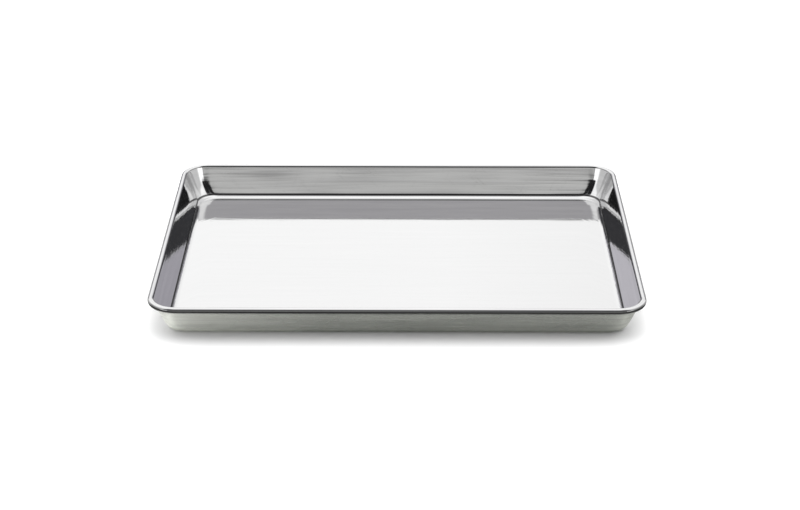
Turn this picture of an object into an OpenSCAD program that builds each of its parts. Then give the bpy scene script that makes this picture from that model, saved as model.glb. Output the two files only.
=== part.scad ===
// Shallow rectangular tray for counting and sorting tablets. One deep-drawn steel sheet makes the
// floor, the leaning walls and the rim, and the rim is curled round a stiffening wire.
// Millimetres. The origin is the middle of the underside, +X runs along the length and +Z is up.

/* [Tray] */
// Length over the rim, left to right
tray_w = 330; // [200:5:500]
// Depth over the rim, front to back
tray_d = 241; // [150:1:400]
// Height from the underside to the top of the rim
tray_h = 24; // [15:0.5:40]
// Plan radius over the rim at the corners, more where a tall or slanted wall needs it
rim_corner_r = 20; // [10:1:60]

/* [Sheet] */
// Thickness of the sheet
sheet_t = 0.7; // [0.5:0.1:1.2]
// Lean of the walls, in degrees from upright
wall_lean = 21; // [5:1:35]
// Inside radius of the bend between floor and wall
foot_r = 4.5; // [2:0.5:8]

/* [Rim] */
// Diameter of the wire inside the rim
wire_d = 2.8; // [2:0.1:5]
// Play all round between the wire and the curl
wire_play = 0.05; // [0.02:0.01:0.1]
// Gap between the curl's edge and the outside of the wall, under the rim
curl_gap = 0.3; // [0.1:0.1:1]
// Gap between the wire's butted ends, at the middle of the back
wire_gap = 1; // [0.5:0.5:10]

/* [Hidden] */
$fn = 96;
bend_step = 10;

// The curl, seen in section: its outside radius, the height of its centre, and the angle by which
// it stops short of a full turn
curl_r = wire_d / 2 + wire_play + sheet_t;
curl_z = tray_h - curl_r;
curl_open = acos((curl_r - sheet_t - curl_gap) / curl_r);

// The bend at the foot of the wall: the height of its centre
foot_z = sheet_t + foot_r;

// The wall is tangent to the bend and to the curl, which sets how far out the curl's centre lies
// from the bend's centre.
curl_out = ((curl_z - foot_z) * sin(wall_lean) + curl_r + foot_r) / cos(wall_lean);

// All arcs of a corner share one upright axis. The flat floor keeps a plan radius of its own,
// which is what the rim's radius leaves inside the wall, and never less than floor_r_min.
floor_r_min = 1;
corner_r = max(rim_corner_r, ceil(curl_out + curl_r + floor_r_min));
floor_r = corner_r - curl_r - curl_out;
corner_x = tray_w / 2 - corner_r;
corner_y = tray_d / 2 - corner_r;

// Points along an arc of radius r, from one angle to another, bend_step apart or less
function arc(centre, r, from, to) =
    let (steps = ceil(abs(to - from) / bend_step))
    [for (k = [0:steps]) let (a = from + k * (to - from) / steps) centre + r * [cos(a), sin(a)]];

// Section of the sheet, with X outwards from a corner's axis and Y upwards. The outline runs out
// along the upper skin, up the inside of the wall, over the curl to its edge, and back below.
module sheet_section() {
    foot = [floor_r, foot_z];
    curl = [floor_r + curl_out, curl_z];
    curl_start = 180 - wall_lean;
    curl_end = curl_start - 360 + curl_open;
    polygon(concat(
        [[0, sheet_t]],
        arc(foot, foot_r, -90, -wall_lean),
        arc(curl, curl_r, curl_start, curl_end),
        arc(curl, curl_r - sheet_t, curl_end, curl_start),
        arc(foot, foot_r + sheet_t, -wall_lean, -90),
        [[0, 0]]
    ));
}

// Section of the wire, at the curl's centre
module wire_section() {
    translate([floor_r + curl_out, curl_z]) circle(d = wire_d);
}

// A section taken round the whole tray: a quarter turn at each corner, and a straight run between
module round_the_tray() {
    for (k = [0:3]) {
        long_side = k % 2 == 1;
        run = 2 * (long_side ? corner_x : corner_y);
        out = long_side ? corner_y : corner_x;
        rotate(90 * k) {
            translate([out, run / 2, 0]) rotate_extrude(angle = 90) children();
            translate([out, run / 2, 0]) rotate([90, 0, 0]) linear_extrude(run) children();
        }
    }
}

// The drawn sheet: walls, rim and a strip of floor all round, and the rest of the floor inside it
module tray_pan() {
    color([0.74, 0.75, 0.75]) {
        round_the_tray() sheet_section();
        translate([-corner_x, -corner_y, 0]) cube([2 * corner_x, 2 * corner_y, sheet_t]);
    }
}

// The stiffening wire, one bent length with its ends butted at the back
module rim_wire() {
    color([0.52, 0.53, 0.55]) difference() {
        round_the_tray() wire_section();
        translate([-wire_gap / 2, corner_y, 0]) cube([wire_gap, corner_r, tray_h]);
    }
}

tray_pan();
rim_wire();
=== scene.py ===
# %% [markdown]
# # A pressed steel tray
#
# The object is a shallow steel tray: one sheet, deep-drawn in a press, with its edge curled round
# a wire. The solid model of it is loaded first and stays fixed. What is made here takes its outer
# sizes from that model, so that the two agree at the rim and along the sides to a tenth of a
# millimetre.

import math

import bmesh
import bpy
from mathutils import Matrix, Vector, noise


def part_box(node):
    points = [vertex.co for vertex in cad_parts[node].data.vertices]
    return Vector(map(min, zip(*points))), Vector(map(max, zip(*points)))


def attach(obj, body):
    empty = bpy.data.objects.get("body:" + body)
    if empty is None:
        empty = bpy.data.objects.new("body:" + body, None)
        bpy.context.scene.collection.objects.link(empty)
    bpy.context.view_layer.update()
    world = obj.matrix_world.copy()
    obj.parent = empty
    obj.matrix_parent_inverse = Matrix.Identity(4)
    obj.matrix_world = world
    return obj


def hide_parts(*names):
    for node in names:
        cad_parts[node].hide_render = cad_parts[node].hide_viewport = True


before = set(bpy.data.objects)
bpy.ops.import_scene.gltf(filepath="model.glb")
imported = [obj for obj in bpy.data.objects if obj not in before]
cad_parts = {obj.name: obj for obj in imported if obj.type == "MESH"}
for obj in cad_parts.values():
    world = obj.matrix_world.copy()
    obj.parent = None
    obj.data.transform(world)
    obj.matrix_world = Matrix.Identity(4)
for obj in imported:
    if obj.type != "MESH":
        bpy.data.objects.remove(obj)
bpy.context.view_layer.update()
print("nodes in the model:", sorted(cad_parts))

# %% [markdown]
# ## Sizes
#
# Two boxes tell almost everything. The pan's box gives length, depth and height. The wire's box
# gives the wire's thickness and how high it lies, and the curl is centred on the wire, so its
# radius is what is left up to the top of the rim. The thickness of the sheet, the bend at the
# foot, the lean of the walls, the gap at the curl's edge and the corner radius of the rim are the
# ones that the solid model was drawn to. The foot of each corner is drawn in further than that, so
# the sweep starts out with the wider radius.

# %% Sizes of the sheet and the curl, in metres
pan_low, pan_high = (Vector(corner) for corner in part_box("tray_pan"))
wire_low, wire_high = (Vector(corner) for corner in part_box("rim_wire"))

sheet = 0.0007
foot_radius = 0.0045
rim_corner_radius = 0.020
draw_in = 0.008
corner_radius = rim_corner_radius + draw_in
lean = math.radians(21)
curl_gap = 0.0003

half_length = pan_high.x
half_depth = pan_high.y
height = pan_high.z
curl_height = (wire_low.z + wire_high.z) / 2
curl_radius = height - curl_height
foot_height = sheet + foot_radius

curl_out = (curl_height - foot_height) * math.sin(lean) + curl_radius + foot_radius
curl_out = curl_out / math.cos(lean)
floor_radius = corner_radius - curl_radius - curl_out
corner_x = half_length - corner_radius
corner_y = half_depth - corner_radius
print(f"tray {2000 * half_length:.1f} x {2000 * half_depth:.1f} x {1000 * height:.1f} mm")
print(f"curl radius {1000 * curl_radius:.2f} mm, flat floor's corner radius {1000 * floor_radius:.2f} mm")

# %% [markdown]
# ## The section of the sheet
#
# A pressed tray is one section carried round a rounded rectangle, so the section is drawn first,
# in the plane of the back right corner. It could be typed in as a list of points, but a spin of
# one vertex gives every bend as a true arc, and a spin with no angle gives a straight stretch with
# any number of points. The pen below is one vertex that is carried along and leaves edges behind.
#
# A polished surface shows every error of its shading. Smooth shading blends the direction of a big
# flat face into the bend beside it, so each flat stretch gets a narrow first and last face. They
# hold the blend inside a fraction of a millimetre.

# %% A pen that draws with spins
hold = 0.0003
bm = bmesh.new()
along = bm.verts.layers.float.new("along_section")


def draw_line(tip, move, steps=1):
    drawn = bmesh.ops.spin(
        bm, geom=[tip], cent=tip.co, axis=(0, 1, 0), dvec=move, angle=0, steps=steps
    )
    return [piece for piece in drawn["geom_last"] if isinstance(piece, bmesh.types.BMVert)][0]


def draw_held_line(tip, move, steps):
    short = move.normalized() * hold
    tip = draw_line(tip, short)
    tip = draw_line(tip, (move - 2 * short) / steps, steps)
    return draw_line(tip, short)


def draw_arc(tip, centre, angle, steps):
    drawn = bmesh.ops.spin(
        bm, geom=[tip], cent=centre, axis=(0, -1, 0), angle=angle, steps=steps
    )
    return [piece for piece in drawn["geom_last"] if isinstance(piece, bmesh.types.BMVert)][0]


# %% Draw the section: floor, bend, wall, curl, and back along the other skin
axis_point = Vector((corner_x, corner_y, 0))
foot_centre = axis_point + Vector((floor_radius, 0, foot_height))
curl_centre = axis_point + Vector((floor_radius + curl_out, 0, curl_height))
up_the_wall = Vector((math.sin(lean), 0, math.cos(lean)))
wall_length = curl_out * math.sin(lean) + (curl_height - foot_height) * math.cos(lean)
bend_angle = math.pi / 2 - lean
curl_angle = 2 * math.pi - math.acos((curl_radius - sheet - curl_gap) / curl_radius)
floor_run = Vector((floor_radius, 0, 0))

BEND_STEPS = 16
WALL_STEPS = 8
CURL_STEPS = 42
INNER_CURL_STEPS = 28

start = bm.verts.new(axis_point + Vector((0, 0, sheet)))
tip = draw_held_line(start, floor_run, 1)
tip = draw_arc(tip, foot_centre, bend_angle, BEND_STEPS)
tip = draw_held_line(tip, up_the_wall * wall_length, WALL_STEPS)
tip = draw_arc(tip, curl_centre, -curl_angle, CURL_STEPS)
curl_edge = tip
tip = draw_line(tip, (curl_centre - tip.co).normalized() * sheet)
tip = draw_arc(tip, curl_centre, curl_angle, INNER_CURL_STEPS)
tip = draw_held_line(tip, -up_the_wall * wall_length, WALL_STEPS)
tip = draw_arc(tip, foot_centre, -bend_angle, BEND_STEPS)
tip = draw_held_line(tip, -floor_run, 1)
print(f"section: {len(bm.verts)} points, ends at height {1000 * tip.co.z:.3f} mm")

# %% [markdown]
# ## Marks that travel with the section
#
# The finish of the sheet depends on where on the section a point lies: bright inside, dull outside.
# The length along the section is written on its points as an attribute now, because a spin copies
# attributes to the points that it makes.

# %% Write the length along the section on each point
point, edge, run = start, None, 0.0
while True:
    point[along] = run
    onward = [e for e in point.link_edges if e is not edge]
    if not onward:
        break
    edge = onward[0]
    run += edge.calc_length()
    point = edge.other_vert(point)
section_length = run
edge_at = curl_edge[along]
print(f"section is {1000 * section_length:.1f} mm long, the curl's edge at {1000 * edge_at:.1f} mm")

# %% [markdown]
# ## Round the tray
#
# The section now goes round the tray: a quarter turn about each corner's axis, then a straight run
# to the next corner. Cutting each straight run into steps of a few millimetres makes room for the
# slight waviness that a pressed sheet has. The last run ends where the first turn began, and a weld
# closes the ring, once the floor is laid.

# %% Sweep the section round the four corners and along the four sides
CORNER_STEPS = 24
run_step = 0.0035
steps_x = round(2 * corner_x / run_step)
steps_y = round(2 * corner_y / run_step)

ring = list(bm.verts) + list(bm.edges)
corners = [(1, 1), (-1, 1), (-1, -1), (1, -1)]
for quarter, (side_x, side_y) in enumerate(corners):
    centre = Vector((side_x * corner_x, side_y * corner_y, 0))
    turned = bmesh.ops.spin(
        bm, geom=ring, cent=centre, axis=(0, 0, 1), angle=math.pi / 2, steps=CORNER_STEPS
    )
    ring = turned["geom_last"]
    next_x, next_y = corners[(quarter + 1) % 4]
    run_vector = Vector((next_x - side_x, next_y - side_y, 0))
    run_vector = Vector((run_vector.x * corner_x, run_vector.y * corner_y, 0))
    steps = steps_x if run_vector.x else steps_y
    carried = bmesh.ops.spin(
        bm, geom=ring, cent=centre, axis=(0, 0, 1), dvec=run_vector / steps, angle=0, steps=steps
    )
    ring = carried["geom_last"]
print(f"swept: {len(bm.faces)} faces")

# %% [markdown]
# ## The floor
#
# What is left is a plain rectangle between the four corner axes, once for the upper skin and once
# for the underside. A grid with the same steps as the sides meets them point for point, so the
# weld makes one closed sheet of it.

# %% Lay the two floor grids and weld everything
for level, run in ((sheet, 0.0), (0.0, section_length)):
    laid = bmesh.ops.create_grid(
        bm,
        x_segments=steps_x,
        y_segments=steps_y,
        size=1,
        matrix=Matrix.Translation((0, 0, level)) @ Matrix.Diagonal((corner_x, corner_y, 1, 1)),
    )
    for point in laid["verts"]:
        point[along] = run
weld_distance = 1e-6
bmesh.ops.remove_doubles(bm, verts=bm.verts, dist=weld_distance)
bmesh.ops.recalc_face_normals(bm, faces=bm.faces)
open_edges = [e for e in bm.edges if not e.is_manifold]
print(f"sheet: {len(bm.verts)} points, {len(bm.faces)} faces, {len(open_edges)} open edges")
print(f"volume {bm.calc_volume() * 1e6:.2f} cubic centimetres")

# %% [markdown]
# ## A wider corner at the foot
#
# The sweep gave the rim and the foot of a corner the same centre. On a pressed tray they are not
# alike: the rim turns a tight corner and the foot a wide one, so the wall between them leans out
# further in the corner, most of all near the foot. The sweep was drawn with the wide corner, and now
# the rings above the foot move to a tighter one. A ring that is tightened by some length has its
# corner's centre pushed out by that length and its radius cut by it, so its straight sides stay
# where they are and only grow longer. The easing puts most of the tightening low on the wall.

# %% Tighten the corners toward the rim
tighten_from = floor_radius + foot_radius / 2
tighten_to = corner_radius - 2 * curl_radius
EASE = 3.2


def nearest_on_axis_rectangle(place):
    return Vector((
        min(max(place.x, -corner_x), corner_x), min(max(place.y, -corner_y), corner_y), place.z
    ))


def share(value, low, high):
    return min(max((value - low) / (high - low), 0), 1)


for point in bm.verts:
    inner = nearest_on_axis_rectangle(point.co)
    out = point.co - inner
    tighter = draw_in * (1 - (1 - share(out.length, tighten_from, tighten_to)) ** EASE)
    if tighter > 0:
        shorter = (out.length - tighter) / out.length
        point.co.x = inner.x * (1 + tighter / corner_x) + out.x * shorter
        point.co.y = inner.y * (1 + tighter / corner_y) + out.y * shorter
rim_mm, floor_mm = 1000 * rim_corner_radius, 1000 * floor_radius
print(f"corner radius {rim_mm:.0f} mm at the rim, {floor_mm:.1f} mm at the floor")

# %% [markdown]
# ## Slight waviness
#
# A pressed sheet is never quite flat. The floor rises and falls by less than a tenth of a
# millimetre, and the walls bulge a little between the stiff foot and the stiff curl. It can't be
# seen in the outline, but a mirror doubles every slope, so it is what makes the reflections swim.
# A bump in the material would do for fine marks. These waves are long, so they are made in the mesh,
# by a smooth noise that moves both skins together. It only lifts the floor, so nothing goes below
# the table.

# %% Move the points by a smooth noise
floor_wave = 0.00010
wall_wave = 0.00009
floor_wave_size = 0.085
wall_wave_size = 0.040
wall_top = curl_height - curl_radius

for point in bm.verts:
    place = point.co.copy()
    lift = (1 + noise.noise(place / floor_wave_size)) / 2
    point.co.z += floor_wave * lift * (1 - share(place.z, 0, foot_height))
    out = place - nearest_on_axis_rectangle(place)
    if out.length > 0:
        up = share(place.z, 0, wall_top)
        bulge = 4 * up * (1 - up) * noise.noise(place / wall_wave_size)
        point.co += out.normalized() * wall_wave * bulge
print(f"lowest point {1000 * min(v.co.z for v in bm.verts):.3f} mm above the table")

# %% [markdown]
# ## Which skin is which
#
# The inside is buffed bright, and the bright skin goes on over the curl. The outside and the
# underside keep the dull lines of the rolled sheet. The two finishes are two material slots: a face
# is on the bright skin if its place along the section comes before the cut edge of the curl.

# %% Give each face its finish and make the object
BRIGHT, DULL = 0, 1
smooth_up_to = math.radians(40)
for face in bm.faces:
    middle = sum(point[along] for point in face.verts) / len(face.verts)
    face.material_index = BRIGHT if middle < edge_at else DULL

mesh = bpy.data.meshes.new("tray_sheet")
bm.to_mesh(mesh)
bm.free()
tray = bpy.data.objects.new("tray_sheet", mesh)
bpy.context.scene.collection.objects.link(tray)
mesh.shade_smooth()
mesh.set_sharp_from_angle(angle=smooth_up_to)
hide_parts("tray_pan")
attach(tray, "root")
print(f"tray_sheet: {len(mesh.polygons)} faces")

# %% [markdown]
# ## A short way to write nodes
#
# A material is a net of nodes. In the editor they are placed and wired by hand. Here one helper
# places a node, sets its switches, and fills each input with a value or with a wire. The others
# build on it: a calculation, a change of range, a band that is 1 between two edges, a mix of colours
# and a use of a group. One more starts a new group.

# %% Helpers for nodes
def add_node(tree, kind, inputs=None, **switches):
    made = tree.nodes.new(kind)
    for name, value in switches.items():
        setattr(made, name, value)
    for name, value in (inputs or {}).items():
        if isinstance(value, bpy.types.NodeSocket):
            tree.links.new(value, made.inputs[name])
        else:
            made.inputs[name].default_value = value
    return made


def calc(tree, operation, *values):
    return add_node(tree, "ShaderNodeMath", dict(enumerate(values)), operation=operation).outputs[0]


def remap(tree, value, low, high, to_low, to_high, kind="LINEAR"):
    spans = {
        "Value": value, "From Min": low, "From Max": high, "To Min": to_low, "To Max": to_high
    }
    return add_node(tree, "ShaderNodeMapRange", spans, interpolation_type=kind).outputs["Result"]


def band(tree, value, start, full, fade, end):
    rising = remap(tree, value, start, full, 0.0, 1.0)
    falling = remap(tree, value, fade, end, 1.0, 0.0)
    return calc(tree, "MULTIPLY", rising, falling)


MIX_A, MIX_B, MIX_RESULT = 6, 7, 2


def mix_colours(tree, factor, first, second):
    sockets = {0: factor, MIX_A: first, MIX_B: second}
    return add_node(tree, "ShaderNodeMix", sockets, data_type="RGBA").outputs[MIX_RESULT]


def new_group(name, inputs, outputs):
    tree = bpy.data.node_groups.new(name, "ShaderNodeTree")
    for socket_name, kind in inputs.items():
        tree.interface.new_socket(socket_name, in_out="INPUT", socket_type=kind)
    for socket_name, kind in outputs.items():
        tree.interface.new_socket(socket_name, in_out="OUTPUT", socket_type=kind)
    return tree, tree.nodes.new("NodeGroupInput"), tree.nodes.new("NodeGroupOutput")


def use_group(tree, group, inputs):
    return add_node(tree, "ShaderNodeGroup", inputs, node_tree=group).outputs[0]


FLOAT, VECTOR = "NodeSocketFloat", "NodeSocketVector"

# %% [markdown]
# ## Lines left by the press
#
# When the sheet slides over the die, the die leaves faint lines that run round the walls, and the
# rolled sheet has its own fine lines. Both are the same effect: a noise that changes fast across
# the lines and very slowly along them. The noise has four dimensions. Three are the place in space,
# divided by the length of a line. The fourth is the length along the section, divided by the width
# of a line. That way the lines follow the walls round the corners with no seam.

# %% Group: lines
lines, lines_in, lines_out = new_group(
    "lines",
    {"Place": VECTOR, "Across": FLOAT, "Length": FLOAT, "Width": FLOAT, "Detail": FLOAT},
    {"Height": FLOAT},
)
stretched = add_node(
    lines, "ShaderNodeVectorMath", {0: lines_in.outputs["Place"]}, operation="SCALE"
)
lines.links.new(calc(lines, "DIVIDE", 1.0, lines_in.outputs["Length"]), stretched.inputs["Scale"])
line_noise = add_node(
    lines,
    "ShaderNodeTexNoise",
    {
        "Vector": stretched.outputs[0],
        "W": calc(lines, "DIVIDE", lines_in.outputs["Across"], lines_in.outputs["Width"]),
        "Scale": 1.0,
        "Detail": lines_in.outputs["Detail"],
        "Roughness": 0.6,
    },
    noise_dimensions="4D",
)
lines.links.new(line_noise.outputs["Fac"], lines_out.inputs["Height"])
print("group:", lines.name)

# %% [markdown]
# ## Haze and scratches
#
# Handling dulls a bright tray unevenly. Haze is a soft cloud of a few centimetres, with finer
# blotches in it. Scratches are thin, straight and scattered: the same stretched noise, cut off so
# that only its highest ridges are left, once in each of two directions.

# %% Groups: haze, and scratches
haze_low, haze_high = 0.35, 0.7
haze, haze_in, haze_out = new_group("haze", {"Place": VECTOR, "Size": FLOAT}, {"Mask": FLOAT})
haze_place = add_node(
    haze, "ShaderNodeVectorMath", {0: haze_in.outputs["Place"]}, operation="SCALE"
)
haze.links.new(calc(haze, "DIVIDE", 1.0, haze_in.outputs["Size"]), haze_place.inputs["Scale"])
cloud = add_node(
    haze,
    "ShaderNodeTexNoise",
    {"Vector": haze_place.outputs[0], "Scale": 1.0, "Detail": 5.0, "Roughness": 0.55},
)
haze.links.new(
    remap(haze, cloud.outputs["Fac"], haze_low, haze_high, 0.0, 1.0, "SMOOTHSTEP"),
    haze_out.inputs["Mask"],
)

scratches, scratches_in, scratches_out = new_group(
    "scratches", {"Place": VECTOR, "Length": FLOAT, "Width": FLOAT}, {"Mask": FLOAT}
)
ridge_low, ridge_high = 0.70, 0.76
marks = []
for turn_degrees in (18, -37):
    turned = add_node(
        scratches,
        "ShaderNodeVectorRotate",
        {"Vector": scratches_in.outputs["Place"], "Angle": math.radians(turn_degrees)},
        rotation_type="Z_AXIS",
    )
    parts = add_node(scratches, "ShaderNodeSeparateXYZ", {0: turned.outputs[0]})
    packed = add_node(
        scratches,
        "ShaderNodeCombineXYZ",
        {
            "X": calc(scratches, "DIVIDE", parts.outputs["X"], scratches_in.outputs["Length"]),
            "Y": calc(scratches, "DIVIDE", parts.outputs["Y"], scratches_in.outputs["Width"]),
            "Z": calc(scratches, "DIVIDE", parts.outputs["Z"], scratches_in.outputs["Length"]),
        },
    )
    ridges = add_node(
        scratches,
        "ShaderNodeTexNoise",
        {"Vector": packed.outputs[0], "Scale": 1.0, "Detail": 1.0, "Roughness": 0.5},
    )
    marks.append(remap(scratches, ridges.outputs["Fac"], ridge_low, ridge_high, 0.0, 1.0))
scratches.links.new(calc(scratches, "MAXIMUM", *marks), scratches_out.inputs["Mask"])
print("groups:", [group.name for group in bpy.data.node_groups])

# %% [markdown]
# ## Steel with lines
#
# Both finishes of the sheet are stainless steel and use the same groups with other values, so one
# function makes them. The colour of a metal is the share of light that it reflects, about two thirds
# for steel. Roughness tells how far a reflection is blurred: it starts from a base, and lines, haze
# and scratches add to it. The lines also tilt the surface, through a Bump node. Their heights run
# from under a thousandth to a few hundredths of a millimetre, because the eye sees far smaller slopes
# in a mirror than on paper. On the walls the lines are strong, and deeper toward the ends of the
# tray, where the corners hold the sheet back. On the floor the place along Y is added to the length
# along the section, so there the lines run from end to end, and they are faint.
#
# Thin dark lines of painted shade are laid in the bend at the foot and in the turn from the wall into
# the bead, and the outer face of the bead is painted darker, also as painted shade. The length along
# the section tells where each of them is.

# %% Sizes of the marks, in metres, and how strong they are
BROAD_LINES = {"Length": 0.085, "Width": 0.0032, "Detail": 1.5}
FINE_LINES = {"Length": 0.020, "Width": 0.00035, "Detail": 2.0}
SCRATCH = {"Length": 0.022, "Width": 0.00022}
HAZE_SIZE = 0.035
broad_tone, fine_tone, tone_on_floor = 0.5, 0.35, 0.15
middle_tone_floor, middle_tone_wall = 0.9, 0.5
scratch_rough, scratch_depth = 0.10, 0.0000004
deepen_from, deepen_to, deepen_by = 0.06, 0.16, 3.4

bend_end = floor_radius + bend_angle * foot_radius
wall_end = bend_end + wall_length
bead_face = wall_end + 0.0042
# Painted shade: a near-black base colour for the dark lines in the bends and on the bead's outer face.
painted_shade_black = (0.06, 0.06, 0.06, 1)
bend_painted_shade, turn_painted_shade = 0.95, 0.7
IN_BEND = [bend_end + step for step in (-0.0017, -0.0012, -0.0003, 0.0001)]
IN_TURN = [wall_end + step for step in (-0.0001, 0.0001, 0.0006, 0.0010)]
bead_edge_soft = 0.0004
NOISE_LOW, NOISE_HIGH = 0.25, 0.75
print(f"wall runs from {1000 * bend_end:.1f} to {1000 * wall_end:.1f} mm along the section")


# %% A function for a sheet finish
def centred(tree, value, amount):
    return remap(tree, value, NOISE_LOW, NOISE_HIGH, -amount, amount)


# Painted shade: dark lines in the bend at the foot and in the turn into the bead, and a darker outer face
# of the bead.
def paint_shade_lines(tree, section_place, bead_painted_shade):
    in_bend = calc(tree, "MULTIPLY", band(tree, section_place, *IN_BEND), bend_painted_shade)
    in_turn = calc(tree, "MULTIPLY", band(tree, section_place, *IN_TURN), turn_painted_shade)
    on_bead = remap(
        tree, section_place, bead_face - bead_edge_soft, bead_face + bead_edge_soft, 0.0, bead_painted_shade
    )
    return calc(tree, "MAXIMUM", calc(tree, "MAXIMUM", in_bend, in_turn), on_bead)


def sheet_finish(
    name, light, dark, rough, rough_lines, rough_haze, broad_depth, fine_depth, bead_painted_shade
):
    material = bpy.data.materials.new(name)
    material.use_nodes = True
    tree = material.node_tree
    shader = tree.nodes["Principled BSDF"]
    place = add_node(tree, "ShaderNodeTexCoord").outputs["Object"]
    axes = add_node(tree, "ShaderNodeSeparateXYZ", {0: place}).outputs
    section = add_node(tree, "ShaderNodeAttribute", attribute_name="along_section")
    section_place = section.outputs["Fac"]
    outer_floor = section_length - floor_radius
    on_wall = band(
        tree,
        section_place,
        floor_radius,
        floor_radius + foot_radius,
        outer_floor - foot_radius,
        outer_floor,
    )

    off_wall = calc(tree, "SUBTRACT", 1.0, on_wall)
    across = calc(tree, "ADD", section_place, calc(tree, "MULTIPLY", off_wall, axes["Y"]))
    broad = use_group(tree, lines, {"Place": place, "Across": across, **BROAD_LINES})
    fine = use_group(tree, lines, {"Place": place, "Across": across, **FINE_LINES})
    clouds = use_group(tree, haze, {"Place": place, "Size": HAZE_SIZE})
    marks = use_group(tree, scratches, {"Place": place, **SCRATCH})

    streak = calc(tree, "ADD", centred(tree, broad, broad_tone), centred(tree, fine, fine_tone))
    streak = calc(tree, "MULTIPLY", streak, remap(tree, on_wall, 0.0, 1.0, tone_on_floor, 1.0))
    middle_tone = remap(tree, on_wall, 0.0, 1.0, middle_tone_floor, middle_tone_wall)
    sheen = mix_colours(tree, calc(tree, "ADD", streak, middle_tone), dark, light)
    # The painted shade is mixed into the base colour here.
    black = paint_shade_lines(tree, section_place, bead_painted_shade)
    tree.links.new(mix_colours(tree, black, sheen, painted_shade_black), shader.inputs["Base Color"])

    roughness = calc(tree, "ADD", rough, centred(tree, fine, rough_lines))
    roughness = calc(tree, "ADD", roughness, calc(tree, "MULTIPLY", clouds, rough_haze))
    roughness = calc(tree, "ADD", roughness, calc(tree, "MULTIPLY", marks, scratch_rough))
    tree.links.new(roughness, shader.inputs["Roughness"])

    off_middle = calc(tree, "ABSOLUTE", axes["X"])
    depth = remap(
        tree, off_middle, deepen_from, deepen_to, broad_depth, deepen_by * broad_depth, "SMOOTHSTEP"
    )
    height = calc(
        tree, "ADD", calc(tree, "MULTIPLY", broad, depth), calc(tree, "MULTIPLY", fine, fine_depth)
    )
    height = calc(tree, "SUBTRACT", height, calc(tree, "MULTIPLY", marks, scratch_depth))
    bump = add_node(tree, "ShaderNodeBump", {"Height": height, "Strength": 1.0, "Distance": 1.0})
    tree.links.new(bump.outputs["Normal"], shader.inputs["Normal"])
    shader.inputs["Metallic"].default_value = 1.0
    return material


# %% [markdown]
# ## The two finishes
#
# The bright skin is nearly a mirror. The dull one is greyer, with a touch of green, and more than
# five times as rough, so that it shows soft bands instead of an image.

# %% Make both finishes and put them in the tray's slots
bright_steel = sheet_finish(
    "bright_steel",
    light=(0.70, 0.70, 0.70, 1),
    dark=(0.61, 0.61, 0.615, 1),
    rough=0.04,
    rough_lines=0.015,
    rough_haze=0.02,
    broad_depth=0.000015,
    fine_depth=0.0000006,
    bead_painted_shade=0.65,
)
dull_steel = sheet_finish(
    "dull_steel",
    light=(0.64, 0.648, 0.63, 1),
    dark=(0.47, 0.48, 0.465, 1),
    rough=0.22,
    rough_lines=0.07,
    rough_haze=0.06,
    broad_depth=0.000012,
    fine_depth=0.000002,
    bead_painted_shade=0.0,
)
mesh.materials.append(bright_steel)
mesh.materials.append(dull_steel)
print("slots:", [slot.name for slot in mesh.materials])

# %% [markdown]
# ## The wire in the rim
#
# The curl hides the wire, except through the slit along the curl's edge. Its solid from the model
# is the true shape, so it stays and gets drawn-wire steel: a satin grey with cloudy roughness.

# %% A finish for the wire
WIRE_SCRATCH = {"Length": 0.01, "Width": 0.0002}
wire_haze_size = 0.004
wire_dark, wire_light = (0.50, 0.50, 0.49, 1), (0.58, 0.58, 0.575, 1)
wire_rough_low, wire_rough_high, wire_scratch_rough = 0.28, 0.42, 0.1
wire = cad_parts["rim_wire"]
wire_steel = bpy.data.materials.new("drawn_wire_steel")
wire_steel.use_nodes = True
wire_tree = wire_steel.node_tree
wire_shader = wire_tree.nodes["Principled BSDF"]
wire_place = add_node(wire_tree, "ShaderNodeTexCoord").outputs["Object"]
wire_cloud = use_group(wire_tree, haze, {"Place": wire_place, "Size": wire_haze_size})
wire_marks = use_group(wire_tree, scratches, {"Place": wire_place, **WIRE_SCRATCH})
wire_tree.links.new(
    mix_colours(wire_tree, wire_cloud, wire_dark, wire_light), wire_shader.inputs["Base Color"]
)
wire_roughness = calc(
    wire_tree,
    "ADD",
    remap(wire_tree, wire_cloud, 0.0, 1.0, wire_rough_low, wire_rough_high),
    calc(wire_tree, "MULTIPLY", wire_marks, wire_scratch_rough),
)
wire_tree.links.new(wire_roughness, wire_shader.inputs["Roughness"])
wire_shader.inputs["Metallic"].default_value = 1.0
wire.data.materials.clear()
wire.data.materials.append(wire_steel)
print(f"wire {1000 * (wire_high.z - wire_low.z):.1f} mm thick, {wire.data.materials[0].name}")

# %% [markdown]
# ## The table
#
# The tray stands on white paper. To the eye the paper is white, and the tray shades it only close to
# its foot. In the tray's own reflections the paper is painted greyer, as if it ended near the tray:
# a steel wall that mirrors nothing but white would vanish against the white behind it. Light Path
# tells a reflected ray from a direct one. In front, the outside of the wall mirrors the paper close
# to the foot, which carries a painted pool of light, stronger toward the left and at the foot itself,
# where it makes up for the real shadow. The lower part of the bead mirrors the paper farther out,
# which carries painted shade.

# %% Lay the paper
paper_half_side = 6.0
table_bm = bmesh.new()
bmesh.ops.create_grid(table_bm, x_segments=1, y_segments=1, size=paper_half_side)
table_mesh = bpy.data.meshes.new("table")
table_bm.to_mesh(table_mesh)
table_bm.free()
table = bpy.data.objects.new("table", table_mesh)
bpy.context.scene.collection.objects.link(table)
print(f"paper {2 * paper_half_side:.0f} m wide")

# %% How far a point of the paper is from the foot of the tray
paper = bpy.data.materials.new("white_paper")
paper.use_nodes = True
paper_tree = paper.node_tree
paper_place = add_node(paper_tree, "ShaderNodeTexCoord").outputs["Object"]
paper_axes = add_node(paper_tree, "ShaderNodeSeparateXYZ", {0: paper_place}).outputs


def vector_calc(operation, first, second=(0, 0, 0)):
    inputs = {0: first, 1: second}
    return add_node(paper_tree, "ShaderNodeVectorMath", inputs, operation=operation).outputs


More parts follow.
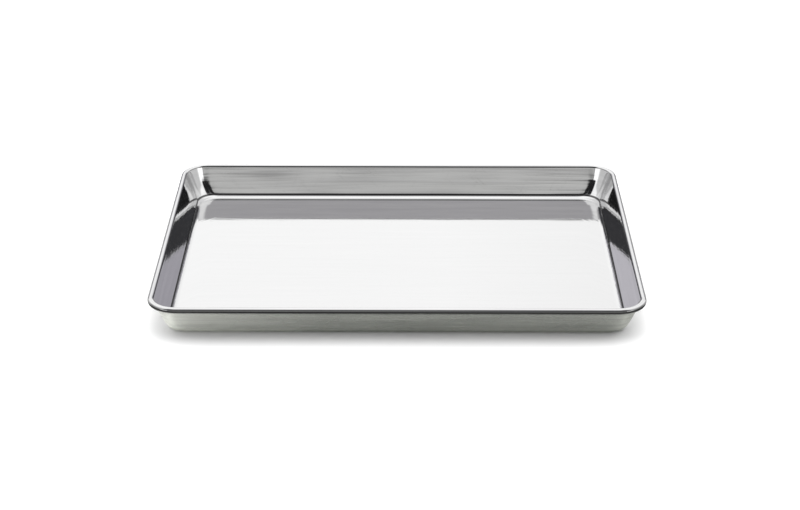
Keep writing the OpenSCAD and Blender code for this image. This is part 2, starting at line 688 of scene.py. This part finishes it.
foot_inset = 0.010
front_from, front_to = -0.05, -0.08
left_from, left_to = -0.05, -0.155
painted_light_to, painted_shade_from = 0.012, 0.022
painted_light_at_foot, painted_brightening_to = 1.7, 0.010
foot_corner = (half_length - foot_inset, half_depth - foot_inset, 0)
beyond = vector_calc("SUBTRACT", vector_calc("ABSOLUTE", paper_place)[0], foot_corner)[0]
from_foot = vector_calc("LENGTH", vector_calc("MAXIMUM", beyond)[0])["Value"]
in_front = remap(paper_tree, paper_axes["Y"], front_from, front_to, 0.0, 1.0, "SMOOTHSTEP")
on_left = remap(paper_tree, paper_axes["X"], left_from, left_to, 0.0, 1.0)
close = remap(paper_tree, from_foot, painted_light_to, painted_shade_from, 1.0, 0.0, "SMOOTHSTEP")
# Painted light: up to 1.7 times brighter at the foot, against the real shadow there.
painted_brightening = remap(paper_tree, from_foot, 0.0, painted_brightening_to, painted_light_at_foot, 1.0)
print(f"foot counted from {[round(1000 * side, 1) for side in foot_corner[:2]]} mm")

# %% Colour the paper
seen_white = (0.85, 0.85, 0.85, 1)
mirrored_grey = (0.45, 0.45, 0.45, 1)
# Painted light and shade, seen only in the tray's reflections: a pool of light near the foot, stronger on
# the left, and dark paper farther out in front.
painted_shade_front = (0.06, 0.061, 0.06, 1)
painted_light_right, painted_light_left = (0.50, 0.505, 0.48, 1), (0.93, 0.93, 0.89, 1)

painted_light_near_foot = mix_colours(paper_tree, on_left, painted_light_right, painted_light_left)
painted_light_near_foot = add_node(
    paper_tree, "ShaderNodeVectorMath", {0: painted_light_near_foot, "Scale": painted_brightening}, operation="SCALE"
).outputs[0]
front = mix_colours(paper_tree, close, painted_shade_front, painted_light_near_foot)
mirrored = mix_colours(paper_tree, in_front, mirrored_grey, front)
glossy_ray = add_node(paper_tree, "ShaderNodeLightPath").outputs["Is Glossy Ray"]
paper_shader = paper_tree.nodes["Principled BSDF"]
paper_tree.links.new(
    mix_colours(paper_tree, glossy_ray, seen_white, mirrored), paper_shader.inputs["Base Color"]
)
paper_shader.inputs["Roughness"].default_value = 0.9
paper_shader.inputs["Specular IOR Level"].default_value = 0.0
table_mesh.materials.append(paper)
print("material:", paper.name)

# %% [markdown]
# ## The light tent
#
# Polished steel has hardly any look of its own: it shows what stands round it. So the light is a
# tent, drawn on the world by direction: how many degrees up, and how many off the front. Each cloth
# of it is there for one part of the tray, and a later cloth hangs over an earlier one.
#
# - The roof and the sides are white. They light the floor and the corners.
# - The front, where the lens stands, is dim. Its lowest part is a grey band that fills the back wall.
#   Just above the band it is nearly black, which gives that wall its thin dark edges.
# - Dark patches high at both sides of the front show in the side walls, by way of the floor and the
#   back wall. A grey strip over the front shows in the floor, by way of the back wall.
# - Bands in the back corners show in the front half of the side walls.
# - Low down the sides are grey, with a brighter strip next to the dim front. The strip and the grey
#   show in the corners.
#
# A lens sees the tent as plain white.

# %% Directions in the tent
world = bpy.data.worlds.new("light_tent")
bpy.context.scene.world = world
world.use_nodes = True
tent = world.node_tree
background = tent.nodes["Background"]
direction = add_node(tent, "ShaderNodeTexCoord").outputs["Generated"]
toward = add_node(tent, "ShaderNodeSeparateXYZ", {0: direction})
elevation_now = calc(tent, "DEGREES", calc(tent, "ARCSINE", toward.outputs["Z"]))
forward = calc(tent, "MULTIPLY", toward.outputs["Y"], -1.0)
bearing = calc(tent, "DEGREES", calc(tent, "ARCTAN2", toward.outputs["X"], forward))
off_front = calc(tent, "ABSOLUTE", bearing)
print("world:", world.name)


def between(value, low, high, soft):
    rising = remap(tent, value, low - soft, low + soft, 0.0, 1.0, "SMOOTHSTEP")
    falling = remap(tent, value, high - soft, high + soft, 1.0, 0.0, "SMOOTHSTEP")
    return calc(tent, "MULTIPLY", rising, falling)


# %% Hang the cloths of the tent
back_wall = (1.30, 1.30, 1.30, 1)
back_wall_right = (1.21, 1.21, 1.21, 1)
white = (1.40, 1.40, 1.40, 1)
side_white = (1.65, 1.65, 1.65, 1)
black = (0.02, 0.02, 0.021, 1)
NO_EDGE = -90
GROUND = -91
right_from, right_to = 0.02, 0.14
sides_from, sides_to, sides_soft = 62, 140, 10
roof_from, roof_to = 34, 60
rightness = remap(tent, toward.outputs["X"], right_from, right_to, 0.0, 1.0)
light = mix_colours(tent, rightness, back_wall, back_wall_right)
light = mix_colours(tent, between(off_front, sides_from, sides_to, sides_soft), light, white)
roof = remap(tent, elevation_now, roof_from, roof_to, 0.0, 1.0, "SMOOTHSTEP")
light = mix_colours(tent, roof, light, white)
# name, what it turns by, from and to, softness, degrees up from and to, softness, colour
cloths = [
    ("dark back corners", off_front, (142, 170), 3, (GROUND, 18.6), 0.7, (0.22, 0.22, 0.23, 1)),
    ("back right band", bearing, (142, 170), 3, (11.8, 17.2), 0.5, (0.58, 0.565, 0.62, 1)),
    ("back left band", bearing, (-170, -142), 3, (11.8, 17.2), 0.5, (0.82, 0.80, 0.86, 1)),
    ("dim front", off_front, (NO_EDGE, 52), 2, (GROUND, 61.5), 0.7, (0.31, 0.31, 0.315, 1)),
    ("dark patches", off_front, (24, 52), 4, (42, 61.5), 1.0, (0.085, 0.085, 0.092, 1)),
    ("black above the band", off_front, (NO_EDGE, 52), 2, (GROUND, 30), 4.0, black),
    ("black front corners", off_front, (27, 52), 3, (20, 34), 2.0, black),
    ("front band", off_front, (NO_EDGE, 32), 1, (GROUND, 19.5), 1.9, (0.68, 0.68, 0.67, 1)),
    ("edge of the sides", off_front, (34, 62), 1.5, (GROUND, 19.7), 1.5, side_white),
    ("grey sides", off_front, (64, 112), 6, (GROUND, 22), 3.0, (0.80, 0.80, 0.80, 1)),
    ("grey strip", off_front, (NO_EDGE, 60), 20, (61.5, 73), 1.5, (0.675, 0.665, 0.685, 1)),
]
for name, turned_by, (side_low, side_high), side_soft, (low, high), soft, colour in cloths:
    side = between(turned_by, side_low, side_high, side_soft)
    rise = between(elevation_now, low, high, soft)
    light = mix_colours(tent, calc(tent, "MULTIPLY", side, rise), light, colour)
    print(f"{name}: up to {high} degrees, {side_high} degrees round")
lens = add_node(tent, "ShaderNodeLightPath").outputs["Is Camera Ray"]
tent.links.new(mix_colours(tent, lens, light, (1, 1, 1, 1)), background.inputs["Color"])
background.inputs["Strength"].default_value = 1.0

# %% [markdown]
# ## A soft light for the paper
#
# The tent alone leaves the paper pale grey. One more light makes it white: a sun as wide as half the
# sky, from a little behind the tray, so that the only shadow is a short soft one at the front foot.
# The steel doesn't see it, because a mirror of it would blow out to flat white.

# %% Hang the soft light
sun_data = bpy.data.lights.new("soft_light", "SUN")
sun_data.energy = 2.9
sun_data.angle = math.radians(95)
sun = bpy.data.objects.new("soft_light", sun_data)
bpy.context.scene.collection.objects.link(sun)
sun.rotation_euler = (math.radians(-14), 0, 0)
sun.visible_glossy = False
print("soft light leans", round(math.degrees(sun.rotation_euler.x)), "degrees")

# %% [markdown]
# ## The camera
#
# The camera looks down at 26 degrees from straight in front, with a long lens, so the sides of the
# tray close in only a little toward the back.

# %% Camera
elevation = math.radians(26.10)
turn = math.radians(0.28)
distance = 1.3314
aim = Vector((0.0015, 0.0095, 0))
look = Vector(
    (-math.sin(turn) * math.cos(elevation), math.cos(turn) * math.cos(elevation), -math.sin(elevation))
)
camera_data = bpy.data.cameras.new("camera")
camera_data.sensor_width = 36
camera_data.lens = 83.2
camera = bpy.data.objects.new("camera", camera_data)
bpy.context.scene.collection.objects.link(camera)
camera.location = aim - look * distance
camera.rotation_euler = look.to_track_quat("-Z", "Y").to_euler()
bpy.context.scene.camera = camera
bpy.context.scene.view_settings.view_transform = "Standard"
print(f"lens {camera_data.lens:.1f} mm, {distance:.2f} m from the tray")
